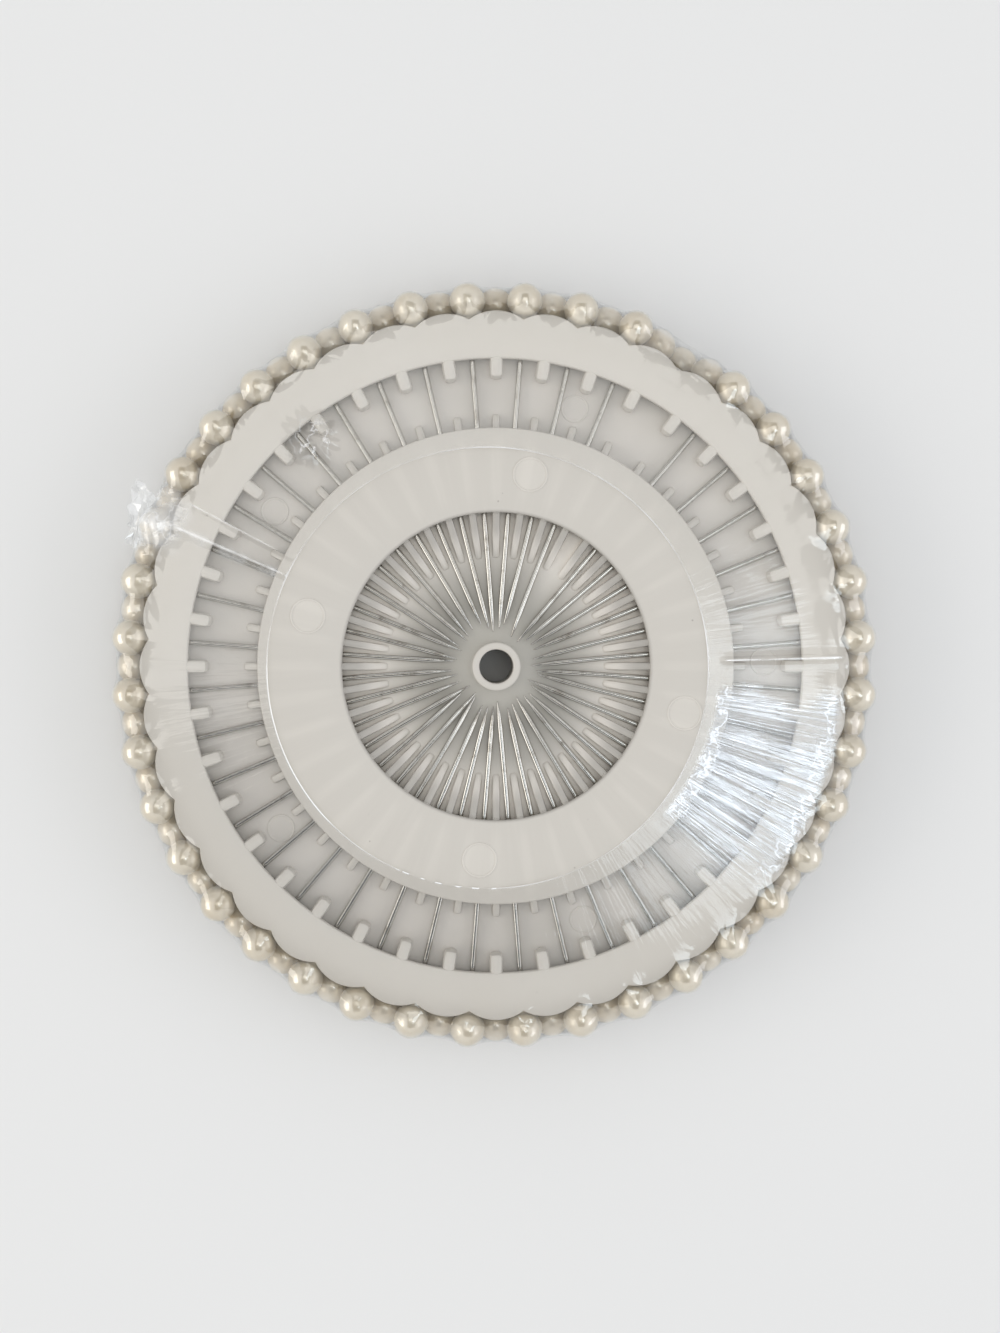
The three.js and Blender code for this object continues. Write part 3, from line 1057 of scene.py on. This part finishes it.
class AddFilm(bpy.types.Operator):
    """Add the clear shrink film, drawn tight round the stack between its two mouths"""

    bl_idname = "pinstack.add_film"
    bl_label = "Shrink film"

    def execute(self, context):
        film = settings().film
        angle, r, z = film_points()
        columns, rows = r.shape
        degrees = (90 - np.degrees(angle) + 180) % 360 - 180
        z = z + film_creases(degrees[:, None], r) * (z > TOP_HIGH.z)
        lip = np.array([noise.noise((2.2 * math.cos(a), 2.2 * math.sin(a), 7)) for a in angle])
        z[:, 0] += film.lip * (0.55 + 0.6 * lip)
        z[:, -1] -= film.lip * 0.3
        bm = bmesh.new()
        bmesh.ops.create_grid(bm, x_segments=columns, y_segments=rows - 1, size=1)
        for v in bm.verts:
            i = round((v.co.x + 1) / 2 * columns) % columns
            j = round((v.co.y + 1) / 2 * (rows - 1))
            v.co = (r[i, j] * math.cos(angle[i]), r[i, j] * math.sin(angle[i]), z[i, j])
        bmesh.ops.remove_doubles(bm, verts=bm.verts, dist=1e-7)
        piece = as_piece("shrink_film", bm, clear_film("clear_film"), "shrink_band",
                         ["shrink_band"], smooth_angle=180)
        piece.visible_shadow = False
        return {"FINISHED"}


# The film's gathered end, which sticks out of the side as a crumpled tab
TAB_LENGTH = 0.0071
TAB_REACH = 0.0025
TAB_Z = 0.0082
TAB_ROOT = 0.0006
TAB_SHEAR = 0.15
TAB_JITTER = 0.0004

# How far its upper layer rises, and how far the lower one falls behind that
TAB_RISE = 0.0007
TAB_SPLIT = 0.0011


class AddFilmTab(bpy.types.Operator):
    """Add the crumpled tab that is left at the side where the film was gathered"""

    bl_idname = "pinstack.add_film_tab"
    bl_label = "Film tab"

    def execute(self, context):
        pin = settings().pin
        wall = pin.pearl_ring + pin.pearl / 2
        rng = random.Random(pin.seed)
        tab = bmesh.new()
        for layer in (0, 1):
            bm = bmesh.new()
            bmesh.ops.create_grid(bm, x_segments=10, y_segments=4, size=0.5)
            for v in bm.verts:
                share = v.co.x + 0.5
                reach = v.co.y + 0.5
                along = (v.co.x - TAB_SHEAR * (1 - reach) * share) * TAB_LENGTH
                length = TAB_REACH * min(1, 0.3 + 0.95 * share)
                jitter = Vector([
                    rng.uniform(-1, 1) * TAB_JITTER * (reach + 0.15) for _ in range(3)])
                out = wall - TAB_ROOT - along ** 2 / (2 * wall) + length * reach
                height = TAB_Z + (TAB_RISE - layer * TAB_SPLIT) * reach
                v.co = jitter + Vector((along, out, height))
            add_part(tab, bm, -math.radians(GATHER_AT))
        finish = clear_film("clear_film_tab", crumple=0.2, milk=0.2, gathers=0.0)
        piece = as_piece("film_tab", tab, finish, "shrink_band", smooth_angle=4)
        piece.visible_shadow = False
        return {"FINISHED"}


# Stage

CAMERA_AT = (-0.004, 0.003, 0.1889)
CAMERA_AIM = (0.0004, 0.0, 0.0099)
CAMERA_LENS = 43.4

# The lamps, as (name, place, width and height, watts, colour), and what they shine at
LAMPS = [
    ("left_window", (-0.76, -0.1, 0.42), (0.7, 0.42), 1.9, (1.0, 0.95, 0.88)),
    ("right_window", (0.76, -0.12, 0.42), (0.7, 0.42), 1.4, (0.92, 0.93, 1.0)),
    ("ceiling_lamp", (0, 0.07, 0.6), (0.3, 0.2), 0.3, (1.0, 0.98, 0.94)),
    ("small_window", (0.128, -0.062, 0.6), (0.12, 0.15), 0.17, (0.84, 0.93, 1.0)),
]
LAMP_AIM = (0, 0, 0.005)

# The room's strength as a lamp and as a backdrop
ROOM_LIGHT = 0.84
ROOM_SEEN = 0.85
ROOM_COLOUR = (0.97, 0.98, 1.0, 1.0)

TABLE_SIZE = (6, 6)

# A dark board above the camera that keeps the gloss below it deep
FLAG_SIZE = (0.6, 1.2)
FLAG_Z = 0.72


def add_camera():
    data = bpy.data.cameras.new("camera")
    data.lens = CAMERA_LENS
    data.clip_start = 0.005
    camera = bpy.data.objects.new("camera", data)
    back = (Vector(CAMERA_AT) - Vector(CAMERA_AIM)).normalized()
    right = Vector((0, 1, 0)).cross(back).normalized()
    turn = Matrix((right, back.cross(right), back)).transposed().to_4x4()
    camera.matrix_world = Matrix.Translation(CAMERA_AT) @ turn
    bpy.context.scene.collection.objects.link(camera)
    bpy.context.scene.camera = camera


def add_lamp(name, place, size, power, colour):
    """A soft lamp that shines from its place to the stack."""
    data = bpy.data.lights.new(name, "AREA")
    data.shape = "RECTANGLE"
    data.size, data.size_y = size
    data.energy = power
    data.color = colour
    lamp = bpy.data.objects.new(name, data)
    ahead = (Vector(LAMP_AIM) - Vector(place)).normalized()
    turn = ahead.to_track_quat("-Z", "Y").to_matrix().to_4x4()
    lamp.matrix_world = Matrix.Translation(place) @ turn
    bpy.context.scene.collection.objects.link(lamp)


def add_world():
    """A pale room: as bright as the backdrop to the eye and in gloss, and dimmer as a lamp."""
    world = bpy.data.worlds.new("pale_room")
    world.use_nodes = True
    tree = world.node_tree
    tree.nodes.clear()
    path = tree.nodes.new("ShaderNodeLightPath")
    seen = path.outputs["Is Camera Ray"]
    for other in ("Is Glossy Ray", "Is Transmission Ray"):
        either = tree.nodes.new("ShaderNodeMath")
        either.operation = "MAXIMUM"
        tree.links.new(seen, either.inputs[0])
        tree.links.new(path.outputs[other], either.inputs[1])
        seen = either.outputs[0]
    strength = tree.nodes.new("ShaderNodeMapRange")
    tree.links.new(seen, strength.inputs["Value"])
    strength.inputs["To Min"].default_value = ROOM_LIGHT
    strength.inputs["To Max"].default_value = ROOM_SEEN
    background = tree.nodes.new("ShaderNodeBackground")
    background.inputs["Color"].default_value = ROOM_COLOUR
    tree.links.new(strength.outputs["Result"], background.inputs["Strength"])
    output = tree.nodes.new("ShaderNodeOutputWorld")
    tree.links.new(background.outputs[0], output.inputs["Surface"])
    bpy.context.scene.world = world


def add_board(name, size, place, material):
    """A flat board on the stage."""
    bm = bmesh.new()
    bmesh.ops.create_grid(bm, x_segments=4, y_segments=4, size=0.5)
    bm.transform(Matrix.Translation(place) @ Matrix.Diagonal((*size, 1, 1)))
    mesh = bpy.data.meshes.new(name)
    bm.to_mesh(mesh)
    bm.free()
    mesh.materials.append(material)
    board = bpy.data.objects.new(name, mesh)
    bpy.context.scene.collection.objects.link(board)
    return board


class AddStage(bpy.types.Operator):
    """Add the pale table, the soft lamps, a dark flag for the gloss, and the camera"""

    bl_idname = "pinstack.add_stage"
    bl_label = "Stage"

    def execute(self, context):
        add_board("table", TABLE_SIZE, (0, 0, 0), table_paint())
        flag = add_board("overhead_flag", FLAG_SIZE, (0, 0, FLAG_Z), flag_cloth())
        flag.visible_camera = False
        flag.visible_diffuse = False
        flag.visible_shadow = False
        for lamp in LAMPS:
            add_lamp(*lamp)
        add_world()
        add_camera()
        context.scene.view_settings.view_transform = "Standard"
        return {"FINISHED"}


OPERATORS = (AddWheels, AddLoosePins, AddLowerPins, AddFilm, AddFilmTab, AddStage)


class PinStackPanel(bpy.types.Panel):
    """Sizes, colours and pieces of the pin wheel stack"""

    bl_idname = "VIEW3D_PT_pin_stack"
    bl_label = "Pin wheel stack"
    bl_space_type = "VIEW_3D"
    bl_region_type = "UI"
    bl_category = "Pin wheels"

    def draw(self, context):
        stack = context.scene.pin_stack
        for group in (stack.wheel, stack.pin, stack.film, stack.colours):
            box = self.layout.box()
            for name in group.__annotations__:
                box.prop(group, name)
        for operator in OPERATORS:
            self.layout.operator(operator.bl_idname)


CLASSES = (WheelSizes, PinSizes, FilmSizes, StackColours, StackSettings, *OPERATORS, PinStackPanel)


def register():
    for cls in CLASSES:
        bpy.utils.register_class(cls)
    bpy.types.Scene.pin_stack = PointerProperty(type=StackSettings)


def unregister():
    del bpy.types.Scene.pin_stack
    for cls in reversed(CLASSES):
        bpy.utils.unregister_class(cls)


def main():
    register()
    for operator in OPERATORS:
        group, name = operator.bl_idname.split(".")
        getattr(getattr(bpy.ops, group), name)()


if __name__ == "__main__":
    main()
